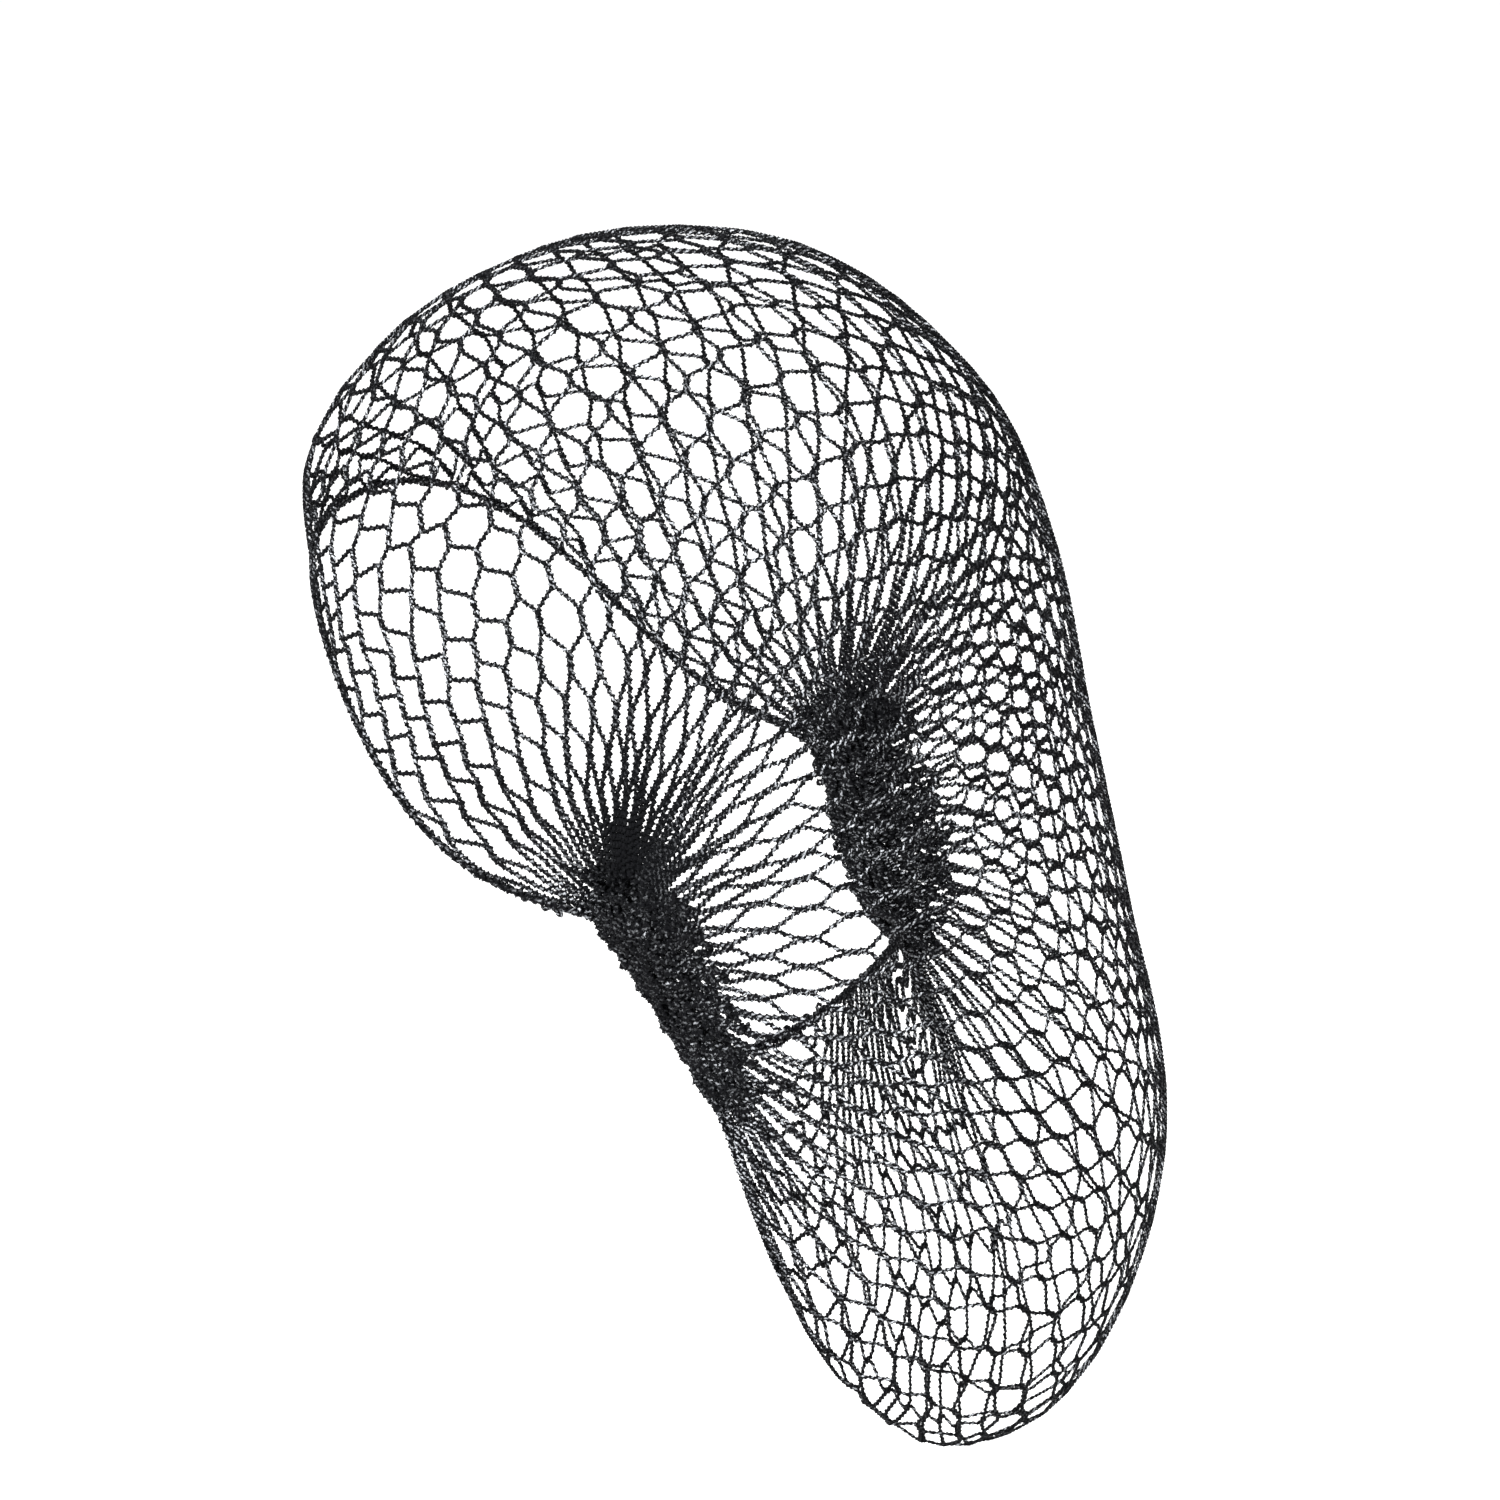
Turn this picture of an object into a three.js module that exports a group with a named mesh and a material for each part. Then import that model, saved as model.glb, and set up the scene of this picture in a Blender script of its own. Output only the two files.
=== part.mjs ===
// A knitted hairnet: a bag of open mesh whose chains run from temple to temple.
// The chains are drawn together into a dense band at each temple, and a thin elastic cord
// runs in the front edge and in the nape edge.
//
// Millimetres, +Z up. The wearer faces -Y, and the wearer's left is +X.
// The origin is where the bag sits on the top of the head, on the inner face of its crown.
import * as THREE from "three";

// Driving dimensions.
const WALL = 1.4; // thickness of the mesh, laid flat
const GAP = 0.4; // space left between neighbouring pieces
const CORD_RADIUS = 1.3; // elastic cord in the front and nape edges
const CORD_SIDES = 8;
const NAPE_OVERRUN = 0.054; // the nape cord runs on to the band's inner face, by this share of it
const LAST_CHAIN = 45; // chains are numbered from the front edge, 0, to the nape edge, 45
const COLUMNS = 46; // facets of the bag from the front edge to the nape edge
const ROWS = 44; // facets of the bag, and of each cord, from the left band to the right one

// The band at each temple: its upper and lower end on the left, the way its flat side faces
// there, and its size.
const BAND_TOP = new THREE.Vector3(78, 13, -175);
const BAND_FOOT = new THREE.Vector3(64, 37, -224);
const BAND_FACING = new THREE.Vector3(1, -0.25, 0);
const BAND_HALF_WIDTH = 8;
const BAND_HALF_THICKNESS = 2.6;
const BAND_SIDES = 24;
const BAND_CLEARANCE = 0.7; // from the band's edge to the mesh, which turns round its foot

// How sharply a section is pinched in towards its band: a higher power is a shorter pinch.
const PINCH_POWER = 3;

// Each section of the bag is an arch from the left band over the mid-plane to the right band.
//   chain  number of the chain that the section follows
//   drop   how far down the band the chain joins it, from 0, the top, to 1, the foot
//   y, z   the section's highest or hindmost point, which is on the mid-plane
//   half   half of the section's width
//   power  roundness of the arch: 2 is an ellipse, and more is squarer
//   lean   how far the arch bends out of its plane, for each millimetre of width
//   dip    how far the arch bows out of its plane near the band, in millimetres
const SECTIONS = [
  { chain: 0.0, drop: 0.0, y: -114, z: -92, half: 89, power: 2.3, lean: 0.0, dip: 20 },
  { chain: 2.8, drop: 0.0, y: -117, z: -68, half: 90, power: 2.3, lean: -0.3, dip: 7 },
  { chain: 4.6, drop: 0.0, y: -104, z: -47, half: 91, power: 2.3, lean: -0.5, dip: 0 },
  { chain: 6.0, drop: 0.0, y: -78, z: -23, half: 93, power: 2.3, lean: -0.6, dip: 0 },
  { chain: 7.8, drop: 0.0, y: -33, z: -2.8, half: 95, power: 2.4, lean: -0.55, dip: 0 },
  { chain: 10.4, drop: 0.0, y: 27, z: -2.8, half: 97, power: 2.4, lean: -0.35, dip: 0 },
  { chain: 12.8, drop: 0.03, y: 78, z: -36, half: 97, power: 2.4, lean: -0.1, dip: 0 },
  { chain: 15.2, drop: 0.08, y: 103, z: -82, half: 97, power: 2.4, lean: 0.12, dip: 0 },
  { chain: 18.4, drop: 0.16, y: 118, z: -142, half: 95, power: 2.4, lean: 0.3, dip: 0 },
  { chain: 23.6, drop: 0.4, y: 133, z: -210, half: 91, power: 2.4, lean: 0.35, dip: 0 },
  { chain: 30.0, drop: 0.8, y: 146, z: -277, half: 87, power: 2.4, lean: 0.25, dip: 0 },
  { chain: 35.0, drop: 1.0, y: 127, z: -341, half: 84, power: 2.4, lean: 0.1, dip: 0 },
  { chain: 38.0, drop: 1.0, y: 93, z: -357, half: 80, power: 2.4, lean: 0.0, dip: 0 },
  { chain: 41.0, drop: 1.0, y: 67, z: -306, half: 74, power: 2.3, lean: 0.0, dip: 0 },
  { chain: 43.5, drop: 1.0, y: 57, z: -256, half: 66, power: 2.2, lean: 0.0, dip: 0 },
  { chain: 45.0, drop: 1.0, y: 55, z: -222, half: 60, power: 2.2, lean: 0.0, dip: 0 },
];

// A smooth curve through the rows of the table: each row's slope is that of the chord
// between its neighbours, and a cubic joins one row to the next.
function slope(row, column) {
  const before = SECTIONS[Math.max(row - 1, 0)];
  const after = SECTIONS[Math.min(row + 1, SECTIONS.length - 1)];
  return (after[column] - before[column]) / (after.chain - before.chain);
}

function sectionAt(chain) {
  let row = 0;
  while (row < SECTIONS.length - 2 && chain > SECTIONS[row + 1].chain) row += 1;
  const from = SECTIONS[row];
  const to = SECTIONS[row + 1];
  const span = to.chain - from.chain;
  const t = (chain - from.chain) / span;
  const section = {};
  for (const column of Object.keys(from)) {
    section[column] =
      from[column] * (1 + 2 * t) * (1 - t) ** 2 +
      to[column] * (3 - 2 * t) * t ** 2 +
      slope(row, column) * span * t * (1 - t) ** 2 -
      slope(row + 1, column) * span * t ** 2 * (1 - t);
  }
  return section;
}

// A point on the middle of the bag's wall. The angle goes from 0 at the left band
// through a right angle on the mid-plane to half a turn at the right band.
const BOW = 6.75; // brings the greatest value of rise * (1 - rise) ** 2 to 1

function bagPoint(chain, angle) {
  const section = sectionAt(chain);
  const root = BAND_TOP.clone().lerp(BAND_FOOT, section.drop);
  const sine = Math.sin(angle);
  const cosine = Math.cos(angle);
  const pinch = (section.half - root.x) * (1 - sine) ** PINCH_POWER;
  const x = Math.max(0, section.half * Math.abs(cosine) ** (2 / section.power) - pinch);
  const rise = sine ** (2 / section.power);
  const run = section.y - root.y;
  const climb = section.z - root.z;
  const reach = Math.hypot(run, climb);
  const leaning = section.lean * (x - root.x * (1 - rise)) * (1 - rise ** 4);
  const aside = leaning + section.dip * BOW * rise * (1 - rise) ** 2;
  return new THREE.Vector3(
    Math.sign(cosine) * x,
    root.y + run * rise - (aside * climb) / reach,
    root.z + climb * rise + (aside * run) / reach,
  );
}

// The angle at which a chain comes clear of the band, found by halving.
const HALVINGS = 30;

function clearAngle(chain, distance) {
  const band = new THREE.Line3(BAND_TOP, BAND_FOOT);
  const nearest = new THREE.Vector3();
  let low = 0;
  let high = 0.6;
  for (let i = 0; i < HALVINGS; i += 1) {
    const middle = (low + high) / 2;
    const point = bagPoint(chain, middle);
    band.closestPointToPoint(point, true, nearest);
    if (point.distanceTo(nearest) < distance) low = middle;
    else high = middle;
  }
  return high;
}

// Every chain starts where it comes clear of the band. The starts are worked out once, at
// PER_CHAIN places for each chain, and read between those places.
const PER_CHAIN = 4;
const starts = Array.from({ length: LAST_CHAIN * PER_CHAIN + 1 }, (_, place) =>
  clearAngle(place / PER_CHAIN, BAND_HALF_WIDTH + BAND_CLEARANCE),
);

function startAngle(chain) {
  const place = chain * PER_CHAIN;
  const before = Math.min(Math.floor(place), starts.length - 2);
  return THREE.MathUtils.lerp(starts[before], starts[before + 1], place - before);
}

// A point on a chain: along is 0 at the left band and 1 at the right one.
function chainPoint(chain, along) {
  const start = startAngle(chain);
  return bagPoint(chain, THREE.MathUtils.lerp(start, Math.PI - start, along));
}

// The direction in which a chain runs there.
const STEP = 0.002;

function chainDirection(chain, along) {
  const before = chainPoint(chain, along - STEP);
  return chainPoint(chain, along + STEP).sub(before).normalize();
}

// The distance from one chain to another, square to the first.
function pitch(chain, other, along) {
  const between = chainPoint(other, along).sub(chainPoint(chain, along));
  return between.cross(chainDirection(chain, along)).length();
}

// The mesh between the cords: across is 0 beside the front cord and 1 beside the nape cord.
const HEM = CORD_RADIUS + GAP; // from the middle of a cord to the mesh

function netPoint(across, along) {
  const first = HEM / pitch(0, 1, along);
  const last = LAST_CHAIN - HEM / pitch(LAST_CHAIN, LAST_CHAIN - 1, along);
  return chainPoint(THREE.MathUtils.lerp(first, last, across), along);
}

// The wall's outward direction, square to its two directions of travel.
function netNormal(across, along) {
  const a = Math.min(Math.max(across, STEP), 1 - STEP);
  const b = Math.min(Math.max(along, STEP), 1 - STEP);
  const sideways = netPoint(a + STEP, b).sub(netPoint(a - STEP, b));
  const onwards = netPoint(a, b + STEP).sub(netPoint(a, b - STEP));
  return sideways.cross(onwards).normalize();
}

// A mesh from a three.js geometry whose vertices are moved by a function.
function bent(geometry, place) {
  const positions = geometry.getAttribute("position");
  const vertex = new THREE.Vector3();
  for (let i = 0; i < positions.count; i += 1) {
    vertex.fromBufferAttribute(positions, i);
    positions.setXYZ(i, ...place(vertex));
  }
  geometry.computeVertexNormals();
  return geometry;
}

// The bag is a thin slab, bent over the head.
function netBag() {
  const slab = new THREE.BoxGeometry(1, 1, 1, COLUMNS, ROWS, 1);
  return bent(slab, ({ x, y, z }) => {
    const across = x + 0.5;
    const along = y + 0.5;
    return netPoint(across, along).addScaledVector(netNormal(across, along), z * WALL);
  });
}

// An elastic cord is a thin cylinder, bent along the chain at an edge. Each end runs on past
// the mesh by a share of the chain.
function edgeCord(chain, across, overrun) {
  const cylinder = new THREE.CylinderGeometry(CORD_RADIUS, CORD_RADIUS, 1, CORD_SIDES, ROWS);
  return bent(cylinder, ({ x, y, z }) => {
    const along = 0.5 + y * (1 + 2 * overrun);
    const onwards = chainDirection(chain, along);
    const sideways = onwards.clone().cross(netNormal(across, along)).normalize();
    const outwards = sideways.clone().cross(onwards);
    return chainPoint(chain, along).addScaledVector(sideways, x).addScaledVector(outwards, z);
  });
}

// The band is a flattened capsule, its length along Y and its flat side facing along Z.
function gatherBand() {
  const length = BAND_TOP.distanceTo(BAND_FOOT);
  const band = new THREE.CapsuleGeometry(BAND_HALF_WIDTH, length, BAND_SIDES / 3, BAND_SIDES);
  return band.scale(1, 1, BAND_HALF_THICKNESS / BAND_HALF_WIDTH);
}

// A band laid from its top to its foot, on the left for a side of 1 and on the right for -1.
function placeBand(band, side) {
  const mirror = new THREE.Vector3(side, 1, 1);
  const top = BAND_TOP.clone().multiply(mirror);
  const foot = BAND_FOOT.clone().multiply(mirror);
  const along = top.clone().sub(foot).normalize();
  const across = along.clone().cross(BAND_FACING.clone().multiply(mirror)).normalize();
  const facing = across.clone().cross(along);
  band.position.copy(top).lerp(foot, 0.5);
  band.quaternion.setFromRotationMatrix(new THREE.Matrix4().makeBasis(across, along, facing));
}

// Finish of each piece.
const nylon = (name, colour, roughness) =>
  new THREE.MeshStandardMaterial({ name, color: colour, roughness, metalness: 0, flatShading: true });

function piece(name, geometry, material) {
  const mesh = new THREE.Mesh(geometry, material);
  mesh.name = name;
  return mesh;
}

const hairnet = new THREE.Group();
hairnet.name = "hairnet";
hairnet.add(piece("net_bag", netBag(), nylon("knitted_mesh", 0x17171b, 0.55)));
hairnet.add(piece("front_elastic", edgeCord(0, 0, 0), nylon("front_cord", 0x121215, 0.6)));
hairnet.add(piece("nape_elastic", edgeCord(LAST_CHAIN, 1, NAPE_OVERRUN), nylon("nape_cord", 0x121215, 0.6)));

for (const [name, side] of [["left_gather", 1], ["right_gather", -1]]) {
  const band = piece(name, gatherBand(), nylon(name + "_chains", 0x0f0f12, 0.65));
  placeBand(band, side);
  hairnet.add(band);
}

export default hairnet;
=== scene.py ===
import math

import bpy
import numpy as np
from bpy.props import FloatProperty, FloatVectorProperty, IntProperty, PointerProperty
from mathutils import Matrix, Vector


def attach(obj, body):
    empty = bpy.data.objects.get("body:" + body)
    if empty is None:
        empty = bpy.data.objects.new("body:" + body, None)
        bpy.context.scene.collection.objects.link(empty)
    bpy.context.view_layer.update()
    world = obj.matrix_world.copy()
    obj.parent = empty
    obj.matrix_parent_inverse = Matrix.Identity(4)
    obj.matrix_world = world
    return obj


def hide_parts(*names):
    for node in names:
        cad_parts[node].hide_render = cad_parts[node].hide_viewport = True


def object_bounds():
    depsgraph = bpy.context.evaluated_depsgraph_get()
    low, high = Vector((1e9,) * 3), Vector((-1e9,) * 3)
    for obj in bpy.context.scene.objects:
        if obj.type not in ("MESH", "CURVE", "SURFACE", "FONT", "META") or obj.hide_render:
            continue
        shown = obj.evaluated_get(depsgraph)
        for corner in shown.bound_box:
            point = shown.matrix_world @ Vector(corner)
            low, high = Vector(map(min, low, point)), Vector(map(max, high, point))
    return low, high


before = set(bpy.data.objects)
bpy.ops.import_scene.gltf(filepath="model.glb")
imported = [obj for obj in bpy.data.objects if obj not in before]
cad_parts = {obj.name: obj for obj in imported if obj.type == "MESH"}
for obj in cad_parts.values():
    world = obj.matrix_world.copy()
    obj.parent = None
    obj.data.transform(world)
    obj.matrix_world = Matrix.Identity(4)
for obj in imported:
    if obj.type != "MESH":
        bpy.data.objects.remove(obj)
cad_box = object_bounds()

bl_info = {
    "name": "Knitted hairnet",
    "version": (1, 0, 0),
    "blender": (4, 5, 0),
    "location": "View3D > Sidebar > Hairnet",
    "description": "Builds a knitted hairnet: its mesh, its two elastic edges and its two gathers",
    "category": "Mesh",
}

# The knitting is worked out in millimetres and turned into metres where it becomes a mesh.
MM = 0.001

# The sections of the bag, in millimetres: the number of the chain that a section follows, how far
# down the band the chain joins it, the section's farthest point on the mid-plane (y, z), half of
# its width, its roundness, how far it leans out of its plane for each millimetre of width, and how
# far it bows out of its plane near the band.
SECTIONS = np.array(
    [
        (0.0, 0.0, -114.0, -92.0, 89.0, 2.3, 0.0, 20.0),
        (2.8, 0.0, -117.0, -68.0, 90.0, 2.3, -0.3, 7.0),
        (4.6, 0.0, -104.0, -47.0, 91.0, 2.3, -0.5, 0.0),
        (6.0, 0.0, -78.0, -23.0, 93.0, 2.3, -0.6, 0.0),
        (7.8, 0.0, -33.0, -2.8, 95.0, 2.4, -0.55, 0.0),
        (10.4, 0.0, 27.0, -2.8, 97.0, 2.4, -0.35, 0.0),
        (12.8, 0.03, 78.0, -36.0, 97.0, 2.4, -0.1, 0.0),
        (15.2, 0.08, 103.0, -82.0, 97.0, 2.4, 0.12, 0.0),
        (18.4, 0.16, 118.0, -142.0, 95.0, 2.4, 0.3, 0.0),
        (23.6, 0.4, 133.0, -210.0, 91.0, 2.4, 0.35, 0.0),
        (30.0, 0.8, 146.0, -277.0, 87.0, 2.4, 0.25, 0.0),
        (35.0, 1.0, 127.0, -341.0, 84.0, 2.4, 0.1, 0.0),
        (38.0, 1.0, 93.0, -357.0, 80.0, 2.4, 0.0, 0.0),
        (41.0, 1.0, 67.0, -306.0, 74.0, 2.3, 0.0, 0.0),
        (43.5, 1.0, 57.0, -256.0, 66.0, 2.2, 0.0, 0.0),
        (45.0, 1.0, 55.0, -222.0, 60.0, 2.2, 0.0, 0.0),
    ]
)
LAST_CHAIN = 45
LAST_HALF = 2 * LAST_CHAIN  # the last half-chain; half-chain 2c is chain c
PINCH_POWER = 3.0
BOW = 6.75  # one over the greatest value of x (1 - x)^2
# The band at the left temple: its two ends, the way its flat side faces, and half its width and
# thickness. The band at the right temple is its mirror image.
BAND_TOP = np.array([78.0, 13.0, -175.0])
BAND_FOOT = np.array([64.0, 37.0, -224.0])
BAND_FACING = np.array([1.0, -0.25, 0.0])
BAND_HALF_WIDTH = 8.0
BAND_HALF_THICKNESS = 2.6
MIRROR = np.array([-1.0, 1.0, 1.0])

# How the chains are shared out over the sections, at the mouth of the band: the number of a section
# and how far apart two neighbouring chains lie there, counted in sections.
SPACING = np.array(
    [
        (0.0, 1.1),
        (1.5, 0.95),
        (3.0, 0.85),
        (6.0, 0.9),
        (9.0, 0.98),
        (13.0, 0.82),
        (18.0, 0.87),
        (22.0, 1.15),
        (37.0, 1.25),
        (41.0, 1.03),
        (45.0, 0.91),
    ]
)
# How far a chain strays from its section, counted in sections: the number of the section that it
# has at the band, then a column for each distance from the band in STRAY_AT.
STRAY_AT = np.array([0.0, 50.0, 100.0, 130.0, 160.0, 190.0, 220.0])
STRAY = np.array(
    [
        (0.0, 0.0, 0.0, 0.0, 0.0, 0.0, 0.0, 0.0),
        (1.5, 0.0, 0.0, 0.0, 0.05, 0.1, 0.1, 0.1),
        (2.4, 0.0, 0.0, 0.05, 0.2, 0.4, 0.4, 0.4),
        (3.5, 0.0, 0.0, 0.1, 0.55, 1.1, 1.2, 1.2),
        (5.0, 0.0, 0.0, 0.05, 0.35, 0.7, 0.8, 0.8),
        (6.5, 0.0, 0.0, 0.0, 0.1, 0.2, 0.25, 0.3),
        (7.5, 0.0, 0.0, 0.0, 0.0, -0.1, -0.15, -0.15),
        (9.0, 0.0, 0.0, 0.0, 0.15, 0.1, 0.0, 0.0),
        (12.5, 0.0, 0.0, 0.0, 0.0, -0.12, -0.25, -0.3),
        (16.0, 0.0, 0.0, -0.2, -0.45, -0.65, -0.8, -0.9),
        (18.0, 0.0, -0.1, -0.5, -0.65, -0.65, -0.6, -0.6),
        (20.0, 0.0, -0.3, -0.9, -0.95, -0.7, -0.4, -0.2),
        (22.0, 0.0, -0.4, -0.95, -0.7, -0.1, 0.5, 1.0),
        (26.0, 0.0, -0.4, -0.9, -0.3, 0.8, 2.0, 2.6),
        (30.0, 0.0, -0.3, -0.7, -0.2, 1.0, 2.4, 3.0),
        (36.0, 0.0, -0.2, -0.5, 0.0, 0.8, 1.8, 2.2),
        (45.0, 0.0, 0.0, 0.0, 0.0, 0.0, 0.0, 0.0),
    ]
)
TINY = 1e-9


# ---- The surface of the bag ----


def unit(vectors):
    """Each vector divided by its length."""
    return vectors / np.maximum(np.linalg.norm(vectors, axis=-1, keepdims=True), TINY)


def ramp(value, start, end):
    """Zero up to the start, one from the end on, and 3 v^2 - 2 v^3 between them, with v the share
    of the way."""
    share = np.clip((value - start) / (end - start), 0.0, 1.0)
    return share * share * (3.0 - 2.0 * share)


def curve(t, a, b, leaving, reaching):
    """The cubic from a at t = 0 to b at t = 1 with these slopes at its ends."""
    return (
        a * (1 + 2 * t) * (1 - t) ** 2
        + b * (3 - 2 * t) * t**2
        + leaving * t * (1 - t) ** 2
        - reaching * t**2 * (1 - t)
    )


def distances(points):
    """The running length of polylines along their last but one axis."""
    steps = np.linalg.norm(np.diff(points, axis=-2), axis=-1)
    return np.concatenate([np.zeros(steps.shape[:-1] + (1,)), np.cumsum(steps, axis=-1)], axis=-1)


def cubic(place, values, at):
    """Values read from a table at a place: cubics through its rows, each row's slope being that of
    the chord between its neighbours."""
    slopes = np.empty_like(values)
    slopes[1:-1] = (values[2:] - values[:-2]) / (place[2:] - place[:-2])[:, None]
    slopes[0] = (values[1] - values[0]) / (place[1] - place[0])
    slopes[-1] = (values[-1] - values[-2]) / (place[-1] - place[-2])
    row = np.clip(np.searchsorted(place, at, side="right") - 1, 0, len(place) - 2)
    span = (place[row + 1] - place[row])[..., None]
    t = (at - place[row])[..., None] / span
    return curve(t, values[row], values[row + 1], slopes[row] * span, slopes[row + 1] * span)


def section_at(chain):
    """The section's values at a chain."""
    return cubic(SECTIONS[:, 0], SECTIONS[:, 1:], chain)


def bag_point(chain, angle):
    """A point of the bag: an arch from the left band, angle 0, over the mid-plane to the right one.
    It is wide by the cosine and rises by the sine, each to the power 2 / roundness, it is pinched in
    towards the band, and it leans and bows out of its plane."""
    chain, angle = np.broadcast_arrays(np.asarray(chain, float), np.asarray(angle, float))
    drop, y, z, half, power, lean, dip = np.moveaxis(section_at(chain), -1, 0)
    root = BAND_TOP + (BAND_FOOT - BAND_TOP) * drop[..., None]
    sine, cosine = np.abs(np.sin(angle)), np.cos(angle)
    wide = half * np.abs(cosine) ** (2 / power) - (half - root[..., 0]) * (1 - sine) ** PINCH_POWER
    wide = np.maximum(wide, 0.0)
    rise = sine ** (2 / power)
    run, climb = y - root[..., 1], z - root[..., 2]
    reach = np.hypot(run, climb)
    aside = lean * (wide - root[..., 0] * (1 - rise)) * (1 - rise**4)
    aside = aside + dip * BOW * rise * (1 - rise) ** 2
    return np.stack(
        [
            np.sign(cosine) * wide,
            root[..., 1] + run * rise - aside * climb / reach,
            root[..., 2] + climb * rise + aside * run / reach,
        ],
        axis=-1,
    )


def band_axes(right):
    """The directions up a band, across its width towards the back, and out from its flat side. It
    is the band on the wearer's right, or else the one on the left."""
    side = MIRROR if right else 1.0
    up = unit(BAND_TOP - BAND_FOOT)
    across = unit(np.cross(up, BAND_FACING))
    return up * side, across * side, np.cross(across, up) * side


# ---- The chains: paths on the bag that run on into the bands ----

ROWS = 36  # rows of joined stitches from one gather to the other
LEAST_ROWS, MOST_ROWS = 15.5, 20.5  # from the left end to the mid-plane
ROWS_IN_BAND = 4.0  # how many rows lie inside a band on a chain that leaves it at its foot
CORNER = 6.0  # how gently a chain turns out of its band
TURN_BACK = 15.0  # chains below this number turn down into the band, and the rest turn up
BAND_LENGTH = float(np.linalg.norm(BAND_TOP - BAND_FOOT))
ARC_STEPS = 721
SPACING_STEPS = 1801
STRAIGHTENED = 15.0  # over this distance the chains turn square to the mid-plane
SECTION_STEP = 0.25  # outward directions are taken over this many sections to each side
ANGLE_STEP = 0.002  # and over this much of the arch's angle, in radians
LEAST_ANGLE = 0.04  # but not nearer to the band than this angle
LENGTH_STEP = 1.0  # directions along the half-chains are taken over this length to each side
BAG_MIDDLE = np.array([0.0, 10.0, -150.0])  # outward is away from here
EVENED = 6  # cells are made alike over this many half-chains to each side
SHORTEST_LEG = 4.5
FREE_WIDTH = 4.0  # up to this half width of a cell its joins keep their full length
JOIN_GIVES = 0.62  # how much shorter they are for each millimetre past it
DRAWN_FROM = 0.35  # rows are drawn together from this share of the way to the mid-plane
DRAWN_PAST = 70.0  # on the right they are drawn together fully from this far past the mid-plane
ALIGNED = 14  # in front of this half-chain the rows run square to the chains
LOOK_EVERY = 4  # of the places of a half-chain, when the nearest one is looked for


def shared_sections():
    """The section that each half-chain follows at the band: the running sum of one over the
    spacing, scaled to the number of chains and read backwards."""
    section = np.linspace(0.0, LAST_CHAIN, SPACING_STEPS)
    density = 1 / np.interp(section, SPACING[:, 0], SPACING[:, 1])
    count = np.concatenate([[0.0], np.cumsum((density[1:] + density[:-1]) / 2)])
    return np.interp(np.arange(LAST_HALF + 1) / 2, count * LAST_CHAIN / count[-1], section)


def followed_sections(angle):
    """The section that each half-chain follows at each angle: at the band its own, and further off
    one that strays from it by the table. The distance q from the band counts as L - root((L - q)^2
    + s^2) there, with L the arch and s the distance over which the chains are straightened."""
    start = shared_sections()[:, None]
    far = distances(bag_point(start, angle))
    remaining = far[:, -1:] - far
    far = far[:, -1:] - np.sqrt(remaining**2 + STRAIGHTENED**2)
    table = cubic(STRAY[:, 0], STRAY[:, 1:], start[:, 0])
    stray = [
        cubic(STRAY_AT, row[:, None], np.maximum(place, 0.0))[:, 0]
        for row, place in zip(table, far)
    ]
    return start + np.stack(stray)


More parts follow.
